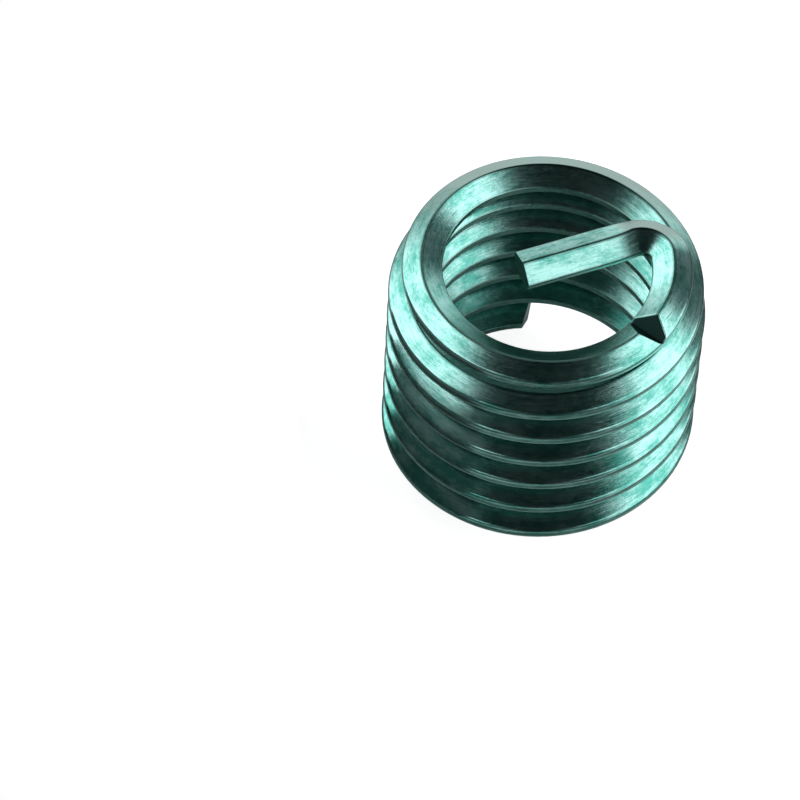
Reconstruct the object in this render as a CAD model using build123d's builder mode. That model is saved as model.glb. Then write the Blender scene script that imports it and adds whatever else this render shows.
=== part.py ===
from build123d import *
from build123d.topology import SkipClean
import os
from math import asin, ceil, cos, degrees, radians, sin, tan

# A wire thread insert for an M10 x 1.5 thread, in its free state: before it is wound into
# its tapped hole, which squeezes the coil a little smaller. One length of diamond-section
# wire is wound into a right-hand coil. The coil's axis is Z, the tang is on top and lies
# along X, and the cut end of the wire at the bottom is the lowest point, at z = 0.
# Sizes are in millimetres and angles in degrees.

# The coil
pitch = 1.5             # from one turn to the next
coil_diameter = 12.4    # over the outer crests of the full turns
coil_turns = 6.76       # from the bend of the tang to the cut end
end_opening = 0.4       # the cut end has sprung this much further down than the pitch takes it
opening_turns = 3.3     # turns over which the coil springs open towards that end
end_slant = 20.0        # the shears leave the cut end this far off square

# The wire's section: a diamond with its two crests flattened
thread_angle = 60.0     # between the two flanks of a crest
turn_gap = 0.28         # free height between the ridges of two neighbouring turns
outer_flat = 0.36       # height of the flat that bears in the tapped hole
inner_flat = 0.26       # height of the flat that faces the bolt

# The lead coil: the first turns are wound smaller, so that they find the tapped hole
lead_reduction = 0.66   # how much smaller the coil's radius is at the tang
lead_turns = 1.5        # turns in which it grows to the full radius
level_turns = 0.7       # turns in which the helix tilts from level to its full angle

# The tang, which the driving tool turns, and the notch where it snaps off afterwards
tang_past_axis = 1.07   # from the coil's axis to the tip
tang_offset = 0.3       # from the coil's axis to the tang's middle line, away from the notch
bend_inside = 0.35      # radius at the inside of the bend
tang_twist = 12.0       # bending twists the wire: the tang's outer side is turned up this far
twist_length = 1.6      # the stretch of the tang, next to the bend, in which it twists
notch_from_tang = 60.0  # round the coil, from the tang's line to the middle of the notch
notch_angle = 90.0      # between its two walls
notch_depth = 0.63      # below the wire's upper ridge

# How finely the coil is made
run_angle = 45.0        # it is joined from runs of about this length
run_steps = 4           # sections along a run
twist_steps = 2         # and along the twisted stretch
crest_spare = 0.05      # left on the crests of the full turns, then cut away truly round

# Sizes that follow from those
flank_slope = tan(radians(thread_angle / 2))
wire_height = pitch - turn_gap
outer_reach = (wire_height - outer_flat) / 2 / flank_slope  # from the ridge out to the crest
inner_reach = (wire_height - inner_flat) / 2 / flank_slope  # from the ridge in to the crest
outer_radius = coil_diameter / 2
ridge_radius = outer_radius - outer_reach
inner_radius = ridge_radius - inner_reach
coil_angle = 360 * coil_turns
lead_angle = 360 * lead_turns
level_angle = 360 * level_turns
opening_angle = 360 * opening_turns
bend_radius = bend_inside + inner_reach
bend_centre_radius = ridge_radius - lead_reduction - bend_radius
bend_centre_y = tang_offset - bend_radius
coil_start = degrees(asin(-bend_centre_y / bend_centre_radius))  # from X round to the bend's end
bend_centre_x = bend_centre_radius * cos(radians(coil_start))


def wound_radius(wound):
    """Radius of the wire's ridges once the coil has wound so many degrees from the bend."""
    share = min(wound / lead_angle, 1.0)
    return ridge_radius - lead_reduction * (1 - share) ** 2 * (1 + 2 * share)


def wound_drop(wound):
    """How far the wire's middle has come down from the tang's level by then."""
    level = min(wound, level_angle)
    opened = max(0.0, wound - coil_angle + opening_angle) / opening_angle
    turned = level**2 / (2 * level_angle) + wound - level
    return pitch * turned / 360 + end_opening * opened**2


tang_height = wound_drop(coil_angle) + wire_height / 2  # the wire's middle, over the lowest point


def wire_plane(wound):
    """The upright plane across the coiled wire: x points out of the coil and y up.

    The coil winds clockwise, seen from above, as it comes down from the tang."""
    turned = radians(coil_start + wound)
    radius = wound_radius(wound)
    share = min(wound / lead_angle, 1.0)
    growth = lead_reduction * 6 * share * (1 - share) / radians(lead_angle)
    outward = Vector(cos(turned), -sin(turned), 0)
    onward = Vector(-sin(turned), -cos(turned), 0)
    place = radius * outward + Vector(0, 0, tang_height - wound_drop(wound))
    heading = radius * onward + growth * outward
    return Plane(origin=place, x_dir=Vector(0, 0, 1).cross(heading), z_dir=heading)


def wire_section(beyond=0.0):
    """The wire's diamond about its ridges, each crest drawn so far beyond its flat."""
    outer, inner, half = outer_reach + beyond, inner_reach + beyond, wire_height / 2
    Polygon(
        (0, half),
        (outer, half - outer * flank_slope),
        (outer, outer * flank_slope - half),
        (0, -half),
        (-inner, inner * flank_slope - half),
        (-inner, half - inner * flank_slope),
        align=None,
    )


def coil_run(start, end):
    """The wire from one angle wound to another. The full turns' crests are cut truly round."""
    full_turn = start > lead_angle - 1e-6
    with BuildPart() as run:
        for step in range(run_steps + 1):
            with BuildSketch(wire_plane(start + (end - start) * step / run_steps)):
                wire_section(crest_spare if full_turn else 0.0)
        loft()
        if full_turn:
            with Locations((0, 0, tang_height / 2)):
                Cylinder(outer_radius, 2 * tang_height, mode=Mode.INTERSECT)
                Cylinder(inner_radius, 3 * tang_height, mode=Mode.SUBTRACT)
    return run.part


def coil_runs(start, end):
    """Equal runs that fill a stretch of the coil."""
    count = ceil((end - start) / run_angle)
    ends = [start + (end - start) * number / count for number in range(count + 1)]
    return [coil_run(first, last) for first, last in zip(ends, ends[1:])]


def cut_end():
    """A short last run, past the coil's angle, that the shears have cut aslant."""
    slant = radians(end_slant)
    overrun = degrees(outer_reach * tan(slant) / ridge_radius)
    square = wire_plane(coil_angle)
    cut_direction = square.z_dir * cos(slant) - square.x_dir * sin(slant)
    with BuildPart() as stub:
        add(coil_run(coil_angle - run_angle, coil_angle + 2 * overrun))
        split(bisect_by=Plane(origin=square.origin, z_dir=cut_direction), keep=Keep.BOTTOM)
    return stub.part


def tang_plane(x, twist):
    """The upright plane across the tang: x points away from the notch, turned up by the twist."""
    turned_up = radians(twist)
    outward = (0, cos(turned_up), sin(turned_up))
    return Plane(origin=(x, tang_offset, tang_height), x_dir=outward, z_dir=(1, 0, 0))


def tang():
    """The straight tang and its bend, level with the start of the coil."""
    twisted_x = bend_centre_x - twist_length
    bend_axis = Axis((bend_centre_x, bend_centre_y, 0), (0, 0, -1))
    with BuildPart() as bent_wire:
        with BuildSketch(tang_plane(-tang_past_axis, tang_twist)):
            wire_section()
        extrude(amount=tang_past_axis + twisted_x)
        for step in range(twist_steps + 1):
            share = step / twist_steps
            with BuildSketch(tang_plane(twisted_x + twist_length * share, tang_twist * (1 - share))):
                wire_section()
        loft()
        with BuildSketch(tang_plane(bend_centre_x, 0)):
            wire_section()
        revolve(axis=bend_axis, revolution_arc=90 + coil_start)
    return bent_wire.part


def notch():
    """The V across the top of the first turn, as a wedge that points along the radius."""
    wound = notch_from_tang - coil_start
    ridge = wire_plane(wound)
    top = wire_height
    half_width = top * tan(radians(notch_angle / 2))
    across = Plane(origin=ridge.origin, x_dir=ridge.z_dir, z_dir=-ridge.x_dir)
    with BuildPart() as wedge:
        with BuildSketch(across.offset(-outer_reach * 2)):
            with Locations((0, wire_height / 2 - notch_depth)):
                Polygon((0, 0), (half_width, top), (-half_width, top), align=None)
        extrude(amount=2 * (outer_reach + inner_reach))
    return wedge.part


# The runs' faces stay apart, so that no crest's face winds on and on round the coil
with SkipClean():
    lead_coil = coil_runs(0, lead_angle)
    full_turns = coil_runs(lead_angle, coil_angle - run_angle)
    wire = [tang(), *lead_coil, *full_turns, cut_end()]
    snap_notch = notch()
    with BuildPart() as thread_insert:
        add(wire, clean=False)
        add(snap_notch, mode=Mode.SUBTRACT, clean=False)

thread_insert.part.label = "thread_insert"
os.makedirs("parts", exist_ok=True)
export_step(thread_insert.part, "parts/thread_insert.step")
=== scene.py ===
# %% [markdown]
# # A wire thread insert
#
# A thread insert is one length of steel wire, rolled to a diamond section and wound into a
# coil. The outside of the coil screws into a tapped hole and the inside carries a bolt. Here
# the plain solid of the insert is loaded first. Its box tells where everything goes, and a
# finer wire is then wound in its place, with the rounded edges and the dye that catch the light.

# %% Load the insert
import bpy
import math
from mathutils import Matrix, Quaternion, Vector

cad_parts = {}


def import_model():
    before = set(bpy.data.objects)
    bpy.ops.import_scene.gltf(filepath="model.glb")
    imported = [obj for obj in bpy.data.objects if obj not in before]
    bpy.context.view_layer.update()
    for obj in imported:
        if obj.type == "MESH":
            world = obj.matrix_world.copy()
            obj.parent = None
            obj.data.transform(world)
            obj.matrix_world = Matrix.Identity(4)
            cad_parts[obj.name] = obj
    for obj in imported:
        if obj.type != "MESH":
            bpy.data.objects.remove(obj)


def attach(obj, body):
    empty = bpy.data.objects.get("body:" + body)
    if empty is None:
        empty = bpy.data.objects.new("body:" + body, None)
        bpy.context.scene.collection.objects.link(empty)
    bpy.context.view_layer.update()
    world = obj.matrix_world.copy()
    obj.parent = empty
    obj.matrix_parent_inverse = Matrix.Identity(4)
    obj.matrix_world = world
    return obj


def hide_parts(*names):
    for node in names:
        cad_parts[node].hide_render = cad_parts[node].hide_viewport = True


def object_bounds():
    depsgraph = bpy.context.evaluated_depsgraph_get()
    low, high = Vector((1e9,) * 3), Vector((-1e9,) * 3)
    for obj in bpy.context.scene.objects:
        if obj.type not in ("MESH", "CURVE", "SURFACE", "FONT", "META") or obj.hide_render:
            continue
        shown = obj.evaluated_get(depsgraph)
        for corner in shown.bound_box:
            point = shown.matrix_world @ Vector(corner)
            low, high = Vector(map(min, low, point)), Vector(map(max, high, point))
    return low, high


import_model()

solid_low, solid_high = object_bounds()
print("solid from", [round(v, 5) for v in solid_low], "to", [round(v, 5) for v in solid_high])

# %% [markdown]
# ## The sizes
#
# A coil is ruled by few numbers: the pitch, how many turns, and the wire's own section. The
# box of the solid gives the radius and the height, so the wire is sure to fill the same room.
# The rest are the maker's sizes, in metres, and the angles are in degrees.

# %% Sizes of the coil, the wire, the tang and the notch
MM = 0.001
pitch = 1.5 * MM
coil_turns = 6.76
outer_radius = (solid_high.x - solid_low.x) / 2
coil_height = solid_high.z - solid_low.z
end_opening = 0.4 * MM
opening_turns = 3.3
end_slant = 20.0

wire_height = 1.22 * MM
outer_flat = 0.36 * MM
inner_flat = 0.26 * MM
flank_angle = 30.0

lead_reduction = 0.66 * MM
lead_turns = 1.5
level_turns = 0.7

tang_past_axis = 1.07 * MM
tang_offset = 0.3 * MM
bend_inside = 0.35 * MM
tang_twist = 12.0
twist_length = 1.6 * MM
notch_from_tang = 60.0
notch_angle = 90.0
notch_depth = 0.63 * MM
print("the coil is", round(2 * outer_radius / MM, 3), "mm wide and has", coil_turns, "turns")

# %% Sizes that follow from those
flank_slope = math.tan(math.radians(flank_angle))
outer_reach = (wire_height - outer_flat) / 2 / flank_slope
inner_reach = (wire_height - inner_flat) / 2 / flank_slope
ridge_radius = outer_radius - outer_reach
coil_angle = 360 * coil_turns
tang_height = coil_height - wire_height / 2
bend_radius = bend_inside + inner_reach
bend_centre_radius = ridge_radius - lead_reduction - bend_radius
bend_centre_y = tang_offset - bend_radius
coil_start = math.degrees(math.asin(-bend_centre_y / bend_centre_radius))
bend_centre_x = bend_centre_radius * math.cos(math.radians(coil_start))
print("ridges wind at radius", round(ridge_radius / MM, 3), "mm")
print("the tang lies at", round(tang_height / MM, 3), "mm")


# %% How the wire runs
def smaller(wound):
    """How much smaller than a full turn the coil is, once it has wound so many degrees from the tang."""
    share = min(max(wound, 0.0) / (360 * lead_turns), 1.0)
    return lead_reduction * (1 - share) ** 2 * (1 + 2 * share)


def drop(wound):
    """How far the wire has come down from the tang by then."""
    level_angle = 360 * level_turns
    opening_angle = 360 * opening_turns
    level = min(max(wound, 0.0), level_angle)
    opened = max(0.0, wound - coil_angle + opening_angle) / opening_angle
    return pitch * (level**2 / (2 * level_angle) + wound - level) / 360 + end_opening * opened**2


print("the wire comes down", round(drop(coil_angle) / MM, 3), "mm from the tang to its cut end")

# %% [markdown]
# ## Winding the wire
#
# A coil can be a curve with a profile on it, but a curve turns its profile as it climbs, and a
# thread's section has to stay upright. A Screw modifier carries a profile round an axis and
# lifts it evenly, which is just how a thread is made. So the wire's section is drawn once, as
# a ring of six points, its corners are rounded with a bevel, and the modifier winds it.


# %% Helpers for choosing and shaping in edit mode
def fresh_start():
    """Leave edit mode and select nothing."""
    if bpy.context.object and bpy.context.object.mode != "OBJECT":
        bpy.ops.object.mode_set(mode="OBJECT")
    bpy.ops.object.select_all(action="DESELECT")


def choose(piece, kind, wanted):
    """Select the piece's vertices, edges or faces for which wanted(element) is true, in edit mode."""
    bpy.context.view_layer.objects.active = piece
    bpy.ops.object.mode_set(mode="EDIT")
    bpy.ops.mesh.select_mode(type=kind)
    bpy.ops.mesh.select_all(action="DESELECT")
    bpy.ops.object.mode_set(mode="OBJECT")
    mesh = piece.data
    elements = {"VERT": mesh.vertices, "EDGE": mesh.edges, "FACE": mesh.polygons}[kind]
    chosen = 0
    for element in elements:
        element.select = bool(wanted(element))
        chosen += element.select
    bpy.ops.object.mode_set(mode="EDIT")
    return chosen


# %% The section, a diamond with flattened crests
spare_wound = 8.0     # the wire is wound this much too far, and cut back afterwards
fresh_start()
bpy.ops.mesh.primitive_circle_add(vertices=6, radius=outer_reach, fill_type="NGON", location=(0, 0, 0))
wire = bpy.context.object
wire.name = "wire"
wire.data.name = "wire"
half = wire_height / 2
corners = [
    (0, half),
    (outer_reach, outer_flat / 2),
    (outer_reach, -outer_flat / 2),
    (0, -half),
    (-inner_reach, -inner_flat / 2),
    (-inner_reach, inner_flat / 2),
]
end_turned = math.radians(coil_start + coil_angle + spare_wound)
for vertex, (across, up) in zip(wire.data.vertices, corners):
    radius = ridge_radius + across
    vertex.co = (radius * math.cos(end_turned), -radius * math.sin(end_turned), up)
print("the section is", round((outer_reach + inner_reach) / MM, 2), "mm wide")


# %% Round its corners
def section_reach(vertex):
    """How far outside the ridges' radius a point of the wire lies."""
    return math.hypot(vertex.co.x, vertex.co.y) - ridge_radius


crest_rounding = 0.11 * MM
ridge_rounding = 0.035 * MM
for rounding, low_reach, high_reach in (
    (crest_rounding, outer_reach / 2, 2 * outer_reach),
    (ridge_rounding, -outer_reach / 2, outer_reach / 2),
    (ridge_rounding, -2 * inner_reach, -inner_reach / 2),
):
    choose(wire, "VERT", lambda v: low_reach < section_reach(v) < high_reach)
    bpy.ops.mesh.bevel(offset=rounding, segments=3, affect="VERTICES")
bpy.ops.mesh.select_mode(type="FACE")
bpy.ops.mesh.select_all(action="SELECT")
bpy.ops.mesh.delete(type="ONLY_FACE")
bpy.ops.object.mode_set(mode="OBJECT")
section_points = len(wire.data.vertices)
print("the section has", section_points, "points")

# %% Wind it
steps_per_turn = 96
wound_whole = coil_angle + spare_wound
winding = wire.modifiers.new("winding", "SCREW")
winding.axis = "Z"
winding.angle = math.radians(wound_whole)
winding.screw_offset = pitch * wound_whole / 360
winding.steps = round(steps_per_turn * wound_whole / 360)
winding.render_steps = winding.steps
winding.use_smooth_shade = True
bpy.ops.object.modifier_apply(modifier="winding")
print("wound into", len(wire.data.vertices) // section_points, "rings")

# %% [markdown]
# ## The lead turns and the opened end
#
# The first turns of a real insert are wound a little smaller, so that they find the tapped
# hole, and the last turn springs open. Both are slow changes along the wire, so each point is
# moved by rule: its place round the axis and its height say how far along the wire it lies.


# %% Ease the wire in at the tang and open it at the cut end
def wound_at(point, height_of):
    """How many degrees from the coil's start a point lies, given how high the wire's middle is."""
    turned = math.degrees(math.atan2(-point.y, point.x)) - coil_start
    candidates = (turned + 360 * turn for turn in range(-1, int(coil_turns) + 3))
    return min(candidates, key=lambda wound: abs(point.z - height_of(wound)))


def even_height(wound):
    """The height of the wire's middle while the coil is still wound evenly."""
    return pitch * (wound_whole - wound) / 360


for vertex in wire.data.vertices:
    wound = wound_at(vertex.co, even_height)
    radius = math.hypot(vertex.co.x, vertex.co.y)
    eased = (radius - smaller(wound)) / radius
    up = vertex.co.z - even_height(wound)
    vertex.co = (vertex.co.x * eased, vertex.co.y * eased, tang_height - drop(wound) + up)
heights = [vertex.co.z for vertex in wire.data.vertices]
print("the coil is", round((max(heights) - min(heights)) / MM, 3), "mm high")

# %% [markdown]
# ## The tang
#
# The wire's first end turns in sharply and runs straight across the coil. In the workshop a
# pin bends it. Here the open end of the mesh is spun round that pin and then drawn out
# straight, so the section runs through without a seam. A bend so tight twists a diamond wire
# a little, and it does so here too: the tang is drawn out in short steps next to the bend,
# and each step is turned a bit further round the wire's middle, less and less with each.

# %% Bend the start of the wire inwards and draw the tang out
bend_steps = 20
twist_steps = 8
straight_steps = 10
start_turned = math.radians(coil_start)
start_radial = Vector((math.cos(start_turned), -math.sin(start_turned), 0))
start_heading = Vector((-math.sin(start_turned), -math.cos(start_turned), 0))
tiny = 0.002 * MM     # two places this close count as one


def on_start(vertex):
    near_top = vertex.co.z > tang_height - wire_height
    return near_top and abs(vertex.co.dot(start_heading)) < tiny and vertex.co.dot(start_radial) > 0


chosen = choose(wire, "VERT", on_start)
bpy.ops.mesh.spin(
    steps=bend_steps,
    angle=-math.radians(90 + coil_start),
    center=(bend_centre_x, bend_centre_y, tang_height),
    axis=(0, 0, 1),
)
straight_stretch = tang_past_axis + bend_centre_x - twist_length
draw_steps = [twist_length / twist_steps] * twist_steps
draw_steps += [straight_stretch / straight_steps] * straight_steps
for draw_out in draw_steps:
    bpy.ops.mesh.extrude_region_move(TRANSFORM_OT_translate={"value": (-draw_out, 0, 0)})
bpy.ops.mesh.edge_face_add()
bpy.ops.object.mode_set(mode="OBJECT")
print("the bend starts from", chosen, "points")


# %% Twist the tang
def twist_at(x):
    """How far the tang is twisted, outer side up, at a place along X."""
    share = min(max((bend_centre_x - x) / twist_length, 0.0), 1.0)
    return math.radians(tang_twist) * (1 - (1 - share) ** 3)


for vertex in wire.data.vertices[-section_points * len(draw_steps):]:
    twist = twist_at(vertex.co.x)
    out, up = vertex.co.y - tang_offset, vertex.co.z - tang_height
    vertex.co.y = tang_offset + out * math.cos(twist) - up * math.sin(twist)
    vertex.co.z = tang_height + out * math.sin(twist) + up * math.cos(twist)
tip_points = [v.co for v in wire.data.vertices[-section_points:]]
print("the tang ends at x =", round(tip_points[0].x / MM, 3), "mm")

# %% [markdown]
# ## The cut end
#
# Shears cut the wire off aslant. Only the last stretch of the wire is selected, because a
# bisecting plane would otherwise go through every turn.


# %% Cut the wire off aslant
def middle_height(wound):
    """The height of the wire's middle in the finished coil."""
    return tang_height - drop(wound)


end_point_turned = math.radians(coil_start + coil_angle)
end_radial = Vector((math.cos(end_point_turned), -math.sin(end_point_turned), 0))
end_heading = Vector((-math.sin(end_point_turned), -math.cos(end_point_turned), 0))
slant = math.radians(end_slant)
cut_normal = end_heading * math.cos(slant) - end_radial * math.sin(slant)
cut_point = end_radial * ridge_radius + Vector((0, 0, middle_height(coil_angle)))
last_stretch = 3 * spare_wound


def in_last_stretch(face):
    low = face.center.z < middle_height(coil_angle) + pitch / 2
    return low and (face.center - cut_point).length < math.radians(last_stretch) * ridge_radius


choose(wire, "FACE", in_last_stretch)
bpy.ops.mesh.bisect(plane_co=cut_point, plane_no=cut_normal, use_fill=True, clear_outer=True)
bpy.ops.object.mode_set(mode="OBJECT")
print("lowest point", round(min(v.co.z for v in wire.data.vertices) / MM, 4), "mm")

# %% [markdown]
# ## The notch
#
# A press nicks the first turn, so that the tang snaps off there once the insert is in its
# hole. A blunt wedge is cut out of the wire with a boolean, as the punch does it.

# %% Shape a blunt wedge
notch_wound = notch_from_tang - coil_start
notch_turned = math.radians(notch_from_tang)
notch_radial = Vector((math.cos(notch_turned), -math.sin(notch_turned), 0))
notch_along = Vector((-math.sin(notch_turned), -math.cos(notch_turned), 0))
notch_radius = ridge_radius - smaller(notch_wound)
notch_root = middle_height(notch_wound) + wire_height / 2 - notch_depth
wedge_height = 2 * wire_height
wedge_half_width = wedge_height * math.tan(math.radians(notch_angle / 2))
fresh_start()
bpy.ops.mesh.primitive_cylinder_add(vertices=3, radius=wire_height, depth=wire_height, location=(0, 0, 0))
wedge = bpy.context.object
wedge.name = "wedge"
wedge_corners = ((0, 0), (wedge_half_width, wedge_height), (-wedge_half_width, wedge_height))
for vertex in wedge.data.vertices:
    along, up = wedge_corners[vertex.index // 2]
    reach = outer_reach * 2 if vertex.co.z > 0 else -inner_reach * 2
    place = notch_radial * (notch_radius + reach) + notch_along * along
    vertex.co = (place.x, place.y, notch_root + up)
choose(wedge, "FACE", lambda face: True)
bpy.ops.mesh.normals_make_consistent(inside=False)
bpy.ops.object.mode_set(mode="OBJECT")
print("the wedge's edge is", round(notch_root / MM, 3), "mm high")

# %% Press it into the first turn
fresh_start()
bpy.context.view_layer.objects.active = wire
notching = wire.modifiers.new("notching", "BOOLEAN")
notching.operation = "DIFFERENCE"
notching.solver = "EXACT"
notching.object = wedge
bpy.ops.object.modifier_apply(modifier="notching")
bpy.data.objects.remove(wedge, do_unlink=True)
print("the wire has", len(wire.data.polygons), "faces with its notch")

# %% [markdown]
# ## Edges that the tools leave
#
# Shears, punch and press leave edges that are sharp to the eye but never perfectly so. A
# narrow bevel on just those edges gives them their thin line of light.


# %% Bevel the cut edges
sheared_rounding = 0.014 * MM
tip_middle = Vector((-tang_past_axis, tang_offset, tang_height))


def on_cut(edge):
    """Whether an edge borders the cut end, the tang's tip or the notch."""
    ends = [wire.data.vertices[i].co for i in edge.vertices]
    middle = (ends[0] + ends[1]) / 2
    on_end = all(abs((end - cut_point).dot(cut_normal)) < tiny for end in ends)
    on_end = on_end and middle.z < middle_height(coil_angle) + pitch / 2
    on_end = on_end and (middle - cut_point).length < wire_height * 2
    on_tip = all(abs(end.x + tang_past_axis) < tiny for end in ends)
    on_tip = on_tip and (middle - tip_middle).length < wire_height
    walls = []
    for end in ends:
        along = end.dot(notch_along)
        above = end.z - notch_root
        walls.append(abs(abs(along) - above * math.tan(math.radians(notch_angle / 2))) < tiny)
    near = abs(middle.dot(notch_along)) < wire_height
    near = near and middle.dot(notch_radial) > notch_radius - 2 * inner_reach
    on_notch = all(walls) and near and middle.z > notch_root - tiny
    return on_end or on_tip or on_notch


cut_edges = choose(wire, "EDGE", on_cut)
bpy.ops.mesh.bevel(offset=sheared_rounding, segments=2, affect="EDGES", clamp_overlap=True)
bpy.ops.object.mode_set(mode="OBJECT")
print("bevelled", cut_edges, "edges")

# %% [markdown]
# ## Flat flanks, round edges
#
# Smooth shading bends the light over the flat flanks too, and they would look like putty. A
# Weighted Normal modifier lets the large faces keep their own direction, so the flanks mirror
# the studio as rolled steel does, and only the narrow roundings turn from one to the next.
# It weighs the faces by their area in square metres, and takes so small a piece for nothing.
# So the wire is made a thousand times larger while the modifier is applied.

# %% Smooth shading and outward normals
sharp_angle = 35.0     # an edge that turns more than this stays sharp
choose(wire, "FACE", lambda face: True)
bpy.ops.mesh.remove_doubles(threshold=tiny / 4)
bpy.ops.mesh.normals_make_consistent(inside=False)
bpy.ops.object.mode_set(mode="OBJECT")
fresh_start()
wire.select_set(True)
bpy.context.view_layer.objects.active = wire
bpy.ops.object.shade_smooth_by_angle(angle=math.radians(sharp_angle))
wire.data.transform(Matrix.Scale(1 / MM, 4))
weighing = wire.modifiers.new("weighing", "WEIGHTED_NORMAL")
weighing.keep_sharp = True
bpy.ops.object.modifier_apply(modifier="weighing")
wire.data.transform(Matrix.Scale(MM, 4))
widths = [vertex.co.x for vertex in wire.data.vertices]
print("the wire is", round((max(widths) - min(widths)) / MM, 3), "mm wide again")

# %% [markdown]
# ## The wire as it was before it was wound
#
# Drawing leaves fine lines along a wire, and the dye takes in streaks along it. A pattern
# that follows the wire needs to know where each point lay while the wire was still straight.
# That place is stored on the mesh: how far along, how far out from the ridges, and how high.


# %% Find where a point lay
def beyond_section(out, up):
    """How far outside the wire's section a place in it lies. It is below zero inside."""
    crest = out - outer_reach if out > 0 else -out - inner_reach
    return max(crest, abs(up) + abs(out) * flank_slope - wire_height / 2)


def straight_place(point):
    """(along, out, up) from the coil's start, as if the finished wire were straight."""
    bend_angle = math.radians(90 + coil_start)
    up = point.z - tang_height
    places = []
    if -tang_past_axis - tiny < point.x < bend_centre_x + tiny:
        twist, out = twist_at(point.x), point.y - tang_offset
        flat_out = out * math.cos(twist) + up * math.sin(twist)
        flat_up = up * math.cos(twist) - out * math.sin(twist)
        places.append((point.x - bend_centre_x - bend_radius * bend_angle, flat_out, flat_up))
    from_pin = Vector((point.x - bend_centre_x, point.y - bend_centre_y))
    turned = math.atan2(from_pin.y, from_pin.x) + start_turned
    if 0 < turned < bend_angle:
        places.append((-bend_radius * turned, from_pin.length - bend_radius, up))
    turned = math.degrees(math.atan2(-point.y, point.x)) - coil_start
    radius = math.hypot(point.x, point.y)
    for turn in range(int(coil_turns) + 2):
        wound = turned + 360 * turn
        if -0.1 < wound < wound_whole:
            out = radius - ridge_radius + smaller(wound)
            places.append((math.radians(wound) * ridge_radius, out, point.z - middle_height(wound)))
    return min(places, key=lambda place: beyond_section(place[1], place[2]))


# %% Store the places on the mesh
straight = wire.data.attributes.new("straight_wire", "FLOAT_VECTOR", "POINT")
for vertex, stored in zip(wire.data.vertices, straight.data):
    stored.vector = [length / MM for length in straight_place(vertex.co)]
places_along = [stored.vector.x for stored in straight.data]
straight_length = (max(places_along) - min(places_along)) * MM
wire_end = math.radians(coil_angle - spare_wound) * ridge_radius
print("the straight wire was", round(straight_length / MM), "mm long")

# %% [markdown]
# ## In the solid's place
#
# The wire's shape is finished. From here on it stands for the plain solid: it is tied to the
# insert's body, and the plain solid is hidden.

# %% Put the wire in the solid's place
wire.name = "wound_wire"
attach(wire, "root")
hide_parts("thread_insert")
print(wire.name, "stands for the plain solid")

# %% [markdown]
# ## Dyed steel
#
# The wire is stainless steel with a dark green dye on it. The metal shines through, so the
# dye is the metal's own colour and not a paint over it. It took unevenly, and the wire has
# been rubbed, scratched and cut since. Each of those is a layer in a cell of its own, laid
# over the layers before it, and so are the painted shade, sheen and light. That takes many
# nodes, so a small helper adds and links each of them with one short call. It serves the
# paper and the light too.


# %% A helper for node trees
class Tree:
    """The nodes of a material, or of the world's light."""

    def __init__(self, holder):
        self.holder = holder
        holder.use_nodes = True
        self.nodes = holder.node_tree.nodes
        self.links = holder.node_tree.links

    def feed(self, socket, value):
        """Link another node's socket to this one, or set its value."""
        if isinstance(value, bpy.types.NodeSocket):
            self.links.new(value, socket)
        else:
            socket.default_value = value

    def add(self, kind, **settings):
        """A new node. A setting with the name of a socket feeds it."""
        node = self.nodes.new("ShaderNode" + kind)
        for name, value in settings.items():
            if name in node.inputs:
                self.feed(node.inputs[name], value)
            else:
                setattr(node, name, value)
        return node

    def math(self, operation, first, second=0.0):
        node = self.add("Math", operation=operation)
        self.feed(node.inputs[0], first)
        self.feed(node.inputs[1], second)
        return node.outputs[0]

    def plus(self, first, second):
        return self.math("ADD", first, second)

    def minus(self, first, second):
        return self.math("SUBTRACT", first, second)

    def times(self, first, second):
        return self.math("MULTIPLY", first, second)

    def ramp(self, value, low, high):
        """0 below low and 1 above high, smoothly between."""
        node = self.add("MapRange", interpolation_type="SMOOTHSTEP", Value=value)
        node.inputs["From Min"].default_value = low
        node.inputs["From Max"].default_value = high
        return node.outputs["Result"]

    def fall(self, value, low, high):
        """1 below low and 0 above high, smoothly between."""
        return self.minus(1.0, self.ramp(value, low, high))

    def noise(self, place, fineness, detail=3.0, roughness=0.5):
        """Noise at a place. It is drawn out along the axes on which it is less fine."""
        drawn_out = self.add("Mapping", Vector=place, Scale=fineness).outputs["Vector"]
        node = self.add("TexNoise", Vector=drawn_out, Scale=1.0, Detail=detail, Roughness=roughness)
        return node.outputs["Fac"]

    def mix(self, share, first, second):
        """A mix of two colours, which is all the second where the share is 1."""
        node = self.add("Mix", data_type="RGBA")
        for socket, value in zip((node.inputs[0], node.inputs[6], node.inputs[7]), (share, first, second)):
            self.feed(socket, value)
        return node.outputs[2]


# %% [markdown]
# ### Where a point lay
#
# Every pattern of the dye reads the place that was stored on the mesh, in millimetres. Its
# three parts are used again and again, so they are taken apart once: how far along the wire
# a point lay, how far out from the ridges, and how high over the wire's middle.

# %% Read the place in the straight wire
steel = Tree(bpy.data.materials.new("dyed_steel"))
lain = steel.add("Attribute", attribute_name="straight_wire").outputs["Vector"]
lain_along, lain_out, lain_up = steel.add("SeparateXYZ", Vector=lain).outputs
off_ridge = steel.math("ABSOLUTE", lain_out)
on_tang = steel.math("LESS_THAN", lain_along, 0.0)
print("the place takes", len(steel.nodes), "nodes")

# %% [markdown]
# ### How the dye took
#
# The dye is a thin clear skin over bright steel: pale where it is thin, and deep green where
# it is thick. Three noises make it uneven. They are patches drawn out along the wire, fine
# streaks along the drawing lines, and specks. Towards the tang, at the top of the coil, the
# colour is painted a little paler, as painted light on the upper turns.

# %% Patches, streaks and specks
deep_dye = (0.10, 0.47, 0.39, 1)
pale_dye = (0.50, 0.93, 0.87, 1)
# painted light: the colour is a little paler towards the tang, at the top of the coil
paler_at_top_painted_light = 0.045
palest_at = -20     # mm along the wire, well past the tang's tip

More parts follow.
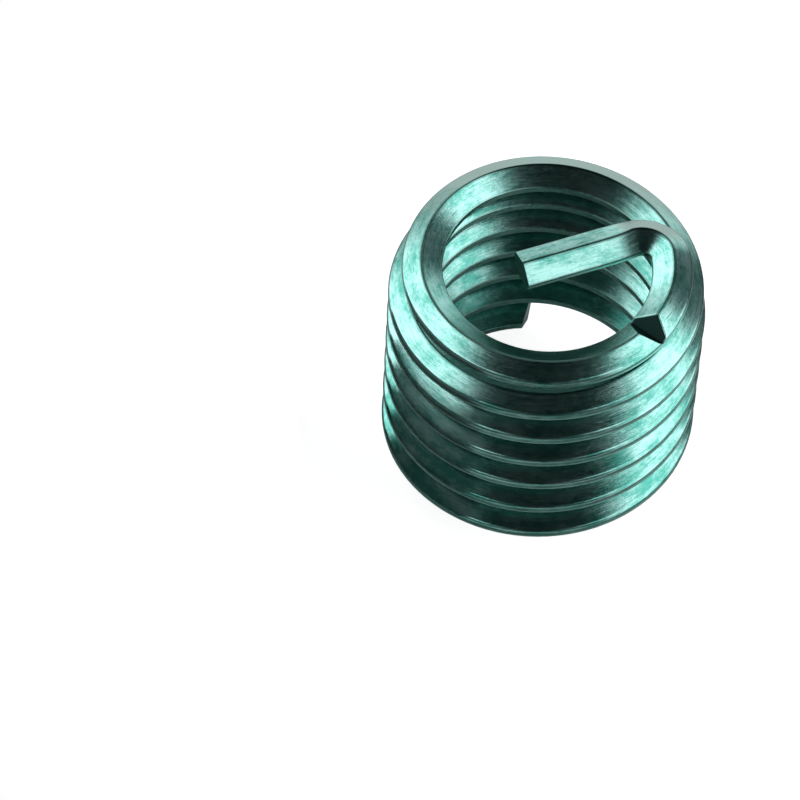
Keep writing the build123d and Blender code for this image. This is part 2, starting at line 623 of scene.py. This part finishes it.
patches = steel.noise(lain, (0.8, 1.6, 1.6), detail=6.0, roughness=0.62)
streaks = steel.noise(lain, (0.7, 10.0, 10.0), detail=4.0, roughness=0.6)
specks = steel.noise(lain, (5.0, 9.0, 9.0), roughness=0.7)
dye_thinness_and_top_light = steel.plus(steel.times(patches, 0.55), steel.times(streaks, 0.2))
dye_thinness_and_top_light = steel.plus(dye_thinness_and_top_light, steel.times(specks, 0.25))
towards_tang = steel.fall(lain_along, palest_at, straight_length / MM)
dye_thinness_and_top_light = steel.plus(dye_thinness_and_top_light, steel.times(towards_tang, paler_at_top_painted_light))
colour = steel.mix(steel.ramp(dye_thinness_and_top_light, 0.40, 0.64), deep_dye, pale_dye)
print("with the uneven dye it is", len(steel.nodes), "nodes")

# %% [markdown]
# ### Painted shade in the grooves
#
# The undersides of the turns, and the wire next to the ridges where one turn meets the
# next, are painted nearly black: painted shade in the grooves between the turns.

# %% Painted shade in the grooves
# painted shade: nearly black beside the ridges and on the undersides of the turns
groove_shade_colour = (0.025, 0.13, 0.105, 1)
ridge_side = (0.02, 0.12)      # mm beside a ridge, over which the painted shade fades out
underside = (-0.24, -0.16)     # mm over the wire's middle, where the painted shade on the underside ends

shade_by_ridge = steel.times(steel.fall(off_ridge, *ridge_side), 0.75)
shade_underneath = steel.times(steel.fall(lain_up, *underside), 0.8)
groove_shade = steel.math("MAXIMUM", shade_by_ridge, shade_underneath)
colour = steel.mix(groove_shade, colour, groove_shade_colour)
print("with the gathered dye it is", len(steel.nodes), "nodes")

# %% [markdown]
# ### Scratches
#
# Short scratches along the wire show as dark dashes. They are a very fine noise, far longer
# than wide, of which only the peaks are kept.

# %% Scratches along the wire
scratched_dye = (0.03, 0.14, 0.11, 1)

dashes = steel.noise(lain, (1.3, 24.0, 24.0), detail=2.0)
scratched = steel.times(steel.ramp(dashes, 0.64, 0.72), 0.6)
colour = steel.mix(scratched, colour, scratched_dye)
print("with the scratches it is", len(steel.nodes), "nodes")

# %% [markdown]
# ### A painted sheen
#
# Seen at a low angle, the upper side of the wire is painted grey outside the ridge, as a
# painted sheen, and dark inside it, as painted shade. A Layer Weight node tells how low the
# angle is.

# %% The painted sheen at low angles
# painted sheen and painted shade: grey outside the ridge and dark inside it, at low angles
painted_shade_inside = (0.025, 0.10, 0.08, 1)
painted_sheen_outside = (0.21, 0.255, 0.24, 1)

low_angle = steel.add("LayerWeight", Blend=0.5).outputs["Facing"]
sheen = steel.times(steel.ramp(low_angle, 0.36, 0.60), steel.ramp(lain_up, 0.0, 0.15))
painted_sheen_and_shade = steel.mix(steel.ramp(lain_out, -0.1, 0.1), painted_shade_inside, painted_sheen_outside)
colour = steel.mix(sheen, colour, painted_sheen_and_shade)
print("with the sheen it is", len(steel.nodes), "nodes")

# %% [markdown]
# ### The crests
#
# The rolls that press the diamond section, and the tools that wind it, touch the crests. They
# rub the dye there to a dull grey-green, more in some stretches than in others. Over that, the
# crests are painted darker where they face the camera and paler at a low angle: a painted
# reflection. The inner crests are rubbed paler in the bore.

# %% Rubbed crests, with a painted reflection
# rubbed crests with a painted reflection: dark where a crest faces the camera, pale at a low angle
rubbed_and_painted_dark = (0.095, 0.19, 0.165, 1)
painted_crest_highlight = (0.62, 1.0, 0.92, 1)
rubbed_bore = (0.34, 0.60, 0.55, 1)
outer_crest = outer_reach / MM
inner_crest = inner_reach / MM

on_outer = steel.times(
    steel.ramp(lain_out, outer_crest * 0.92, outer_crest * 0.99),
    steel.fall(lain_up, 0.06, 0.14),
)
on_inner = steel.ramp(steel.times(lain_out, -1.0), inner_crest * 0.90, inner_crest * 0.98)
wear = steel.ramp(steel.noise(lain, (1.2, 4.0, 4.0)), 0.3, 0.7)
rubbed = steel.math("MAXIMUM", on_outer, on_inner)
rubbed = steel.times(rubbed, steel.plus(0.55, steel.times(wear, 0.45)))
rubbed_and_reflection_colour = steel.mix(steel.ramp(low_angle, 0.43, 0.66), rubbed_and_painted_dark, painted_crest_highlight)
in_bore = steel.times(on_inner, steel.minus(1.0, on_tang))
rubbed_and_reflection_colour = steel.mix(in_bore, rubbed_and_reflection_colour, rubbed_bore)
colour = steel.mix(rubbed, colour, rubbed_and_reflection_colour)
print("with the rubbed crests it is", len(steel.nodes), "nodes")

# %% [markdown]
# ### A lighter stretch of ridge
#
# Past the notch, a stretch of the first turn's upper ridge is painted a lighter grey-green
# than the dark beside it, and it is duller.

# %% A lighter stretch of ridge
# a lighter, duller stretch of the first turn's upper ridge, past the notch
lighter_ridge_colour = (0.13, 0.25, 0.22, 1)
lighter_ridge_start = (5.5, 7.5)     # mm along the wire
lighter_ridge_end = (17, 21)

on_ridge = steel.times(steel.fall(off_ridge, 0.03, 0.06), steel.ramp(lain_up, 0.3, 0.4))
past_notch = steel.times(steel.ramp(lain_along, *lighter_ridge_start), steel.fall(lain_along, *lighter_ridge_end))
lighter_ridge = steel.times(on_ridge, past_notch)
colour = steel.mix(lighter_ridge, colour, lighter_ridge_colour)
print("with the scuffs it is", len(steel.nodes), "nodes")

# %% [markdown]
# ### The cut faces
#
# Shears and punch lay the inside of the wire bare, and the dye took hardly or not at all on
# the faces that they cut. Such a face lies deeper inside the section than any rolled one,
# which is how it is told apart. The sheared end is plain steel, and the notch and the tang's
# tip are dark.

# %% The cut faces
notch_steel = (0.02, 0.055, 0.047, 1)
tip_steel = (0.075, 0.18, 0.15, 1)
end_steel = (0.50, 0.53, 0.53, 1)

flank_height = steel.minus(wire_height / MM / 2, steel.times(off_ridge, flank_slope))
under_flank = steel.minus(flank_height, steel.math("ABSOLUTE", lain_up))
under_outer = steel.minus(outer_crest, lain_out)
under_inner = steel.plus(inner_crest, lain_out)
under_crest = steel.math("MINIMUM", under_outer, under_inner)
laid_bare = steel.ramp(steel.math("MINIMUM", under_flank, under_crest), 0.03, 0.05)
at_end = steel.math("GREATER_THAN", lain_along, wire_end / MM)
cut_colour = steel.mix(on_tang, notch_steel, tip_steel)
cut_colour = steel.mix(at_end, cut_colour, end_steel)
colour = steel.mix(laid_bare, colour, cut_colour)
print("with the cut faces it is", len(steel.nodes), "nodes")

# %% [markdown]
# ### Gloss and drawing lines
#
# Rolled steel is glossy. Specks and the fine lines that drawing leaves make it a little
# duller, and where it is rubbed or cut, and on the lighter stretch of ridge, it is much
# duller. The lines and streaks stand out a little too, with a grain far too fine for the
# mesh, so a bump carries them.

# %% Finish the steel
drawing_lines = steel.noise(lain, (0.5, 42.0, 42.0), roughness=0.65)
dullness = steel.plus(0.10, steel.times(specks, 0.10))
for pattern, duller in ((drawing_lines, 0.06), (rubbed, 0.15), (laid_bare, 0.25), (lighter_ridge, 0.45)):
    dullness = steel.plus(dullness, steel.times(pattern, duller))

grain = steel.noise(steel.add("TexCoord").outputs["Object"], (9000.0, 9000.0, 9000.0), detail=2.0)
relief = steel.plus(steel.times(drawing_lines, 0.7), steel.times(streaks, 0.6))
relief = steel.plus(relief, steel.times(grain, 0.15))
bump = steel.add("Bump", Height=relief, Strength=0.35, Distance=0.01 * MM)

metal = steel.nodes["Principled BSDF"]
steel.feed(metal.inputs["Base Color"], colour)
steel.feed(metal.inputs["Roughness"], dullness)
steel.feed(metal.inputs["Normal"], bump.outputs["Normal"])
metal.inputs["Metallic"].default_value = 1.0
metal.inputs["Specular Tint"].default_value = (0.75, 0.93, 0.9, 1)
wire.data.materials.clear()
wire.data.materials.append(steel.holder)
print("the dyed steel is", len(steel.nodes), "nodes")

# %% [markdown]
# ## The floor
#
# A small bright thing is shown best on plain white paper. The camera sees the paper glow a
# little, so that it looks quite white, but the metal mirrors it as plain paper. It still
# takes the insert's shadow.

# %% Lay the paper
paper_width = 48 * MM
fresh_start()
bpy.ops.mesh.primitive_plane_add(size=paper_width, location=(0, 0, 0))
paper = bpy.context.object
paper.name = "paper"

white = Tree(bpy.data.materials.new("white_paper"))
plain = white.nodes["Principled BSDF"]
plain.inputs["Base Color"].default_value = (0.86, 0.87, 0.87, 1)
plain.inputs["Roughness"].default_value = 0.9
plain.inputs["Specular IOR Level"].default_value = 0.0
glow = white.add("Emission", Color=(1, 1, 1, 1), Strength=0.9)
glowing = white.add("AddShader")
white.feed(glowing.inputs[0], plain.outputs[0])
white.feed(glowing.inputs[1], glow.outputs[0])
choice = white.add("MixShader")
white.feed(choice.inputs[0], white.add("LightPath").outputs["Is Camera Ray"])
white.feed(choice.inputs[1], plain.outputs[0])
white.feed(choice.inputs[2], glowing.outputs[0])
white.feed(white.nodes["Material Output"].inputs["Surface"], choice.outputs[0])
paper.data.materials.append(white.holder)
print("the paper is", round(paper_width / MM), "mm wide")

# %% [markdown]
# ## The camera
#
# A long lens from well away keeps the turns nearly parallel. The camera looks down steeply
# from the side where the tang's bend points away to the right. Every place is worked out in
# the camera's own directions: back from the coil, and a little aside, so that the coil
# stands right of the picture's middle and above it.

# %% Set up the camera
camera_azimuth = -23.5
camera_elevation = 54.09
camera_roll = 3.28
camera_distance = 235.2 * MM
coil_right_of_middle = 5.64 * MM
coil_above_middle = 2.55 * MM
aim_height = 6.285 * MM
fresh_start()
bpy.ops.object.camera_add()
camera = bpy.context.object
camera.data.lens = 270
camera.data.sensor_width = 36
camera.data.clip_start = 1 * MM
camera.data.clip_end = 2.0
azimuth, elevation = math.radians(camera_azimuth), math.radians(camera_elevation)
level, rise = math.cos(elevation), math.sin(elevation)
back = Vector((math.sin(azimuth) * level, -math.cos(azimuth) * level, rise))
turn = (-back).to_track_quat("-Z", "Y") @ Quaternion((0, 0, 1), math.radians(camera_roll))
camera.rotation_mode = "QUATERNION"
camera.rotation_quaternion = turn
right, above = turn @ Vector((1, 0, 0)), turn @ Vector((0, 1, 0))
camera.location = (Vector((0, 0, aim_height)) + back * camera_distance
                   - right * coil_right_of_middle - above * coil_above_middle)
bpy.context.scene.camera = camera
print("camera at", [round(v, 4) for v in camera.location])

# %% [markdown]
# ## The light
#
# Polished metal shows what stands around it. Here that is a white studio, soft and even, with
# dark gaps where no lamp stands: one overhead, one low in front, and one on each side behind.
# Each gap draws a dark band down the flanks, and the soft edges between light and dark tell
# the eye that the wire is metal. The studio is the world's own light, so it needs no lamps.
# Its nodes first work out where light comes from, as the camera sees it: how far round the
# insert, counted from the camera to the right, and how high.

# %% Directions in the studio
studio = Tree(bpy.data.worlds.new("studio"))
bpy.context.scene.world = studio.holder
direction = studio.add("TexCoord").outputs["Generated"]
turned = studio.add("VectorRotate", rotation_type="Z_AXIS", Vector=direction, Angle=-azimuth)
to_right, to_back, to_top = studio.add("SeparateXYZ", Vector=turned.outputs[0]).outputs
round_angle = studio.math("ARCTAN2", to_right, studio.times(to_back, -1.0))
high_angle = studio.math("ARCSINE", to_top)
print("the studio is turned", camera_azimuth, "degrees, with the camera")

# %% [markdown]
# ### The gaps
#
# A gap is dark between edges, and each edge is an angle in degrees with its softness. Three
# gaps stand round the insert, each up to its own height. The fourth is a strip overhead, from
# the camera to behind the insert. Its edges lean sideways and backwards from straight up.


# %% Dark gaps between the lamps
def past(angle, edge):
    """0 before an edge and 1 past it."""
    place, softness = edge
    return studio.ramp(angle, math.radians(place - softness / 2), math.radians(place + softness / 2))


def before(angle, edge):
    return studio.minus(1.0, past(angle, edge))


def between(angle, start, end):
    return studio.times(past(angle, start), before(angle, end))


def gap(start, end, top):
    """A gap round the insert from one direction to another, and up to a height."""
    return studio.times(between(round_angle, start, end), before(high_angle, top))


upper_half = studio.math("MAXIMUM", to_top, 0.0)
sideways = studio.math("ARCTAN2", to_right, upper_half)
backwards = studio.math("ARCTAN2", to_back, upper_half)
overhead = studio.times(between(sideways, (-34, 12), (33, 8)), before(backwards, (73, 22)))
behind_right = gap(start=(108, 10), end=(147, 26), top=(42, 8))
behind_left = gap(start=(-160, 12), end=(-134, 20), top=(20, 12))
low_in_front = gap(start=(-98, 24), end=(50, 30), top=(34, 16))
dark = overhead
for dark_gap, depth in ((behind_right, 0.94), (behind_left, 0.55), (low_in_front, 0.95)):
    dark = studio.math("MAXIMUM", dark, studio.times(dark_gap, depth))
print("the gaps take", len(studio.nodes), "nodes")

# %% [markdown]
# ### How bright it is
#
# The gaps are hardly lit at all. The camera itself never sees them: past the paper's edge it
# sees plain white.

# %% Light the studio
brightest, darkest = 1.45, 0.015     # the light from a lamp and from a gap, where 1 is white
lit = studio.minus(brightest, studio.times(dark, brightest - darkest))
seen = studio.add("LightPath").outputs["Is Camera Ray"]
strength = studio.plus(seen, studio.times(studio.minus(1.0, seen), lit))
background = studio.nodes["Background"]
background.inputs["Color"].default_value = (1, 1, 1, 1)
studio.feed(background.inputs["Strength"], strength)
bpy.context.scene.view_settings.view_transform = "Standard"
print("the studio is", round(brightest / darkest), "times brighter in its light than in its gaps")

# %% [markdown]
# ## The grey card
#
# The lower turns on the camera's left are dark, as they are when something stands close beside
# them. A grey card does that here. It is a grid whose points are laid on an arc round the
# coil, and it hides itself from the camera, so that only the metal sees it.

# %% Stand a grey card beside the lower turns
card_distance = 9.5 * MM
card_right, card_left = 32.0, 92.0     # degrees round to the camera's left
card_top_right, card_top_left = 14.6 * MM, 10.8 * MM
fresh_start()
bpy.ops.mesh.primitive_grid_add(x_subdivisions=24, y_subdivisions=1, size=1, location=(0, 0, 0))
card = bpy.context.object
card.name = "card"
for vertex in card.data.vertices:
    share, up = vertex.co.x + 0.5, vertex.co.y + 0.5
    around = math.radians(camera_azimuth - card_right - (card_left - card_right) * share)
    top = card_top_right + (card_top_left - card_top_right) * share
    vertex.co = (card_distance * math.sin(around), -card_distance * math.cos(around), up * top)
dull_grey = bpy.data.materials.new("dull_grey")
dull_grey.use_nodes = True
dull_grey.node_tree.nodes["Principled BSDF"].inputs["Base Color"].default_value = (0.16, 0.16, 0.16, 1)
card.data.materials.append(dull_grey)
card.visible_camera = False
print("the card stands", round(card_distance / MM, 1), "mm from the coil's axis")
